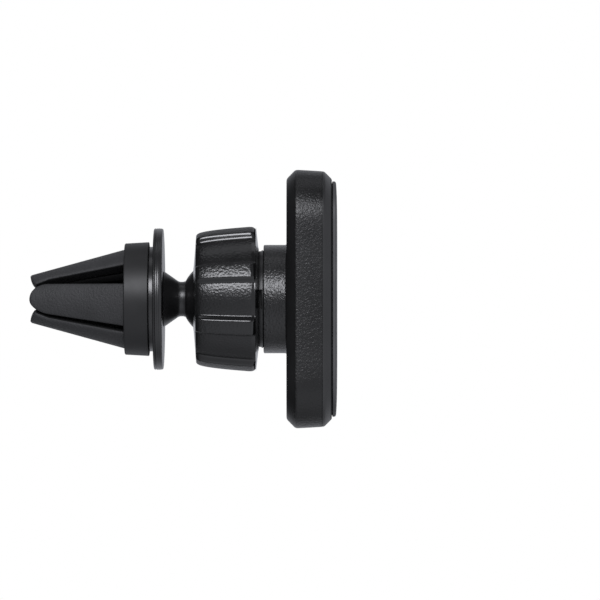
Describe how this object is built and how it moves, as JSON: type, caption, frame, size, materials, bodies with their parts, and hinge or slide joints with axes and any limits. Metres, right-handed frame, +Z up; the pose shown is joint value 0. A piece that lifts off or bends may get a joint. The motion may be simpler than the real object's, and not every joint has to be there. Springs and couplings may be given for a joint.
{
  "type": "car phone mount",
  "caption": "Magnetic phone mount for a car air vent: jaw clip, ball joint with a ribbed clamp nut, and a rounded square magnetic head with a soft pad.",
  "frame": {"origin": "on the mount's own axis, at the face of the stop flange that bears on the air vent", "axes": "+X along the axis towards the phone, +Z up the longer side of the head, Y across the head"},
  "size_m": [0.0662, 0.04, 0.0554],
  "materials": {
    "satin_plastic": "satin black moulded plastic",
    "grain_plastic": "black plastic with a fine moulded grain",
    "bezel_plastic": "smooth satin black plastic",
    "socket_plastic": "satin black moulded plastic",
    "gloss_plastic": "glossy black plastic with a fine moulded texture",
    "jaw_rubber": "matt black rubber, slightly grainy",
    "grip_rubber": "matt black rubber",
    "pad_rubber": "soft matt black silicone",
    "nylon": "natural nylon",
    "black_steel": "black coated steel, satin",
    "zinc_steel": "bright zinc plate",
    "nickel": "nickel plate",
    "adhesive": "dark double-sided tape"
  },
  "bodies": {
    "vent_clip": {"clip_core": "satin_plastic", "clip_collar": "satin_plastic", "stop_flange": "satin_plastic", "ball_stud": "black_steel", "stem_washer": "zinc_steel", "stem_screw": "zinc_steel"},
    "jaw_near": {"jaw_near_cover": "jaw_rubber", "jaw_near_finger": "satin_plastic"},
    "jaw_top": {"jaw_top_cover": "jaw_rubber", "jaw_top_finger": "satin_plastic"},
    "jaw_far": {"jaw_far_cover": "jaw_rubber", "jaw_far_finger": "satin_plastic"},
    "jaw_bottom": {"jaw_bottom_cover": "jaw_rubber", "jaw_bottom_finger": "satin_plastic"},
    "liner": {"ball_liner": "nylon"},
    "grip": {"grip_ring": "grip_rubber"},
    "head": {"socket_collet": "socket_plastic", "socket_washer": "zinc_steel", "socket_screw": "zinc_steel", "rear_housing": "grain_plastic", "front_bezel": "bezel_plastic", "steel_yoke": "zinc_steel", "magnet_tray": "satin_plastic", "magnet_1": "nickel", "magnet_2": "nickel", "magnet_3": "nickel", "magnet_4": "nickel", "magnet_5": "nickel", "magnet_6": "nickel", "housing_screw_1": "zinc_steel", "housing_screw_2": "zinc_steel", "housing_screw_3": "zinc_steel", "housing_screw_4": "zinc_steel", "pad_adhesive": "adhesive", "face_pad": "pad_rubber"},
    "washer": {"clamp_washer": "nylon"},
    "nut": {"clamp_nut": "gloss_plastic"}
  },
  "joints": [
    {"name": "jaw_near_open", "type": "hinge", "parent": "vent_clip", "child": "jaw_near", "pos_m": [-0.0042, -0.0089, 0], "axis": [0, 0, 1], "range_deg": [0, 5], "stiffness_Nm_per_rad": 0.5},
    {"name": "jaw_top_open", "type": "hinge", "parent": "vent_clip", "child": "jaw_top", "pos_m": [-0.0042, 0, 0.0089], "axis": [0, 1, 0], "range_deg": [0, 5], "stiffness_Nm_per_rad": 0.5},
    {"name": "jaw_far_open", "type": "hinge", "parent": "vent_clip", "child": "jaw_far", "pos_m": [-0.0042, 0.0089, 0], "axis": [0, 0, -1], "range_deg": [0, 5], "stiffness_Nm_per_rad": 0.5},
    {"name": "jaw_bottom_open", "type": "hinge", "parent": "vent_clip", "child": "jaw_bottom", "pos_m": [-0.0042, 0, -0.0089], "axis": [0, -1, 0], "range_deg": [0, 5], "stiffness_Nm_per_rad": 0.5},
    {"name": "ball_pan", "type": "hinge", "parent": "vent_clip", "child": "liner", "pos_m": [0.01436, 0, 0], "axis": [0, 0, 1], "range_deg": [-15, 15]},
    {"name": "ball_tilt", "type": "hinge", "parent": "liner", "child": "grip", "pos_m": [0.01436, 0, 0], "axis": [0, 1, 0], "range_deg": [-15, 15]},
    {"name": "ball_roll", "type": "hinge", "parent": "grip", "child": "head", "pos_m": [0.01436, 0, 0], "axis": [1, 0, 0], "continuous": true},
    {"name": "nut_travel", "type": "slide", "parent": "head", "child": "washer", "axis": [-1, 0, 0], "range_m": [0, 0.0004]},
    {"name": "nut_turn", "type": "hinge", "parent": "washer", "child": "nut", "pos_m": [0.016, 0, 0], "axis": [-1, 0, 0], "range_deg": [0, 95]}
  ],
  "couplings": [
    {"joint": "nut_travel", "follows": "nut_turn", "m_per_rad": 0.0002387}
  ]
}
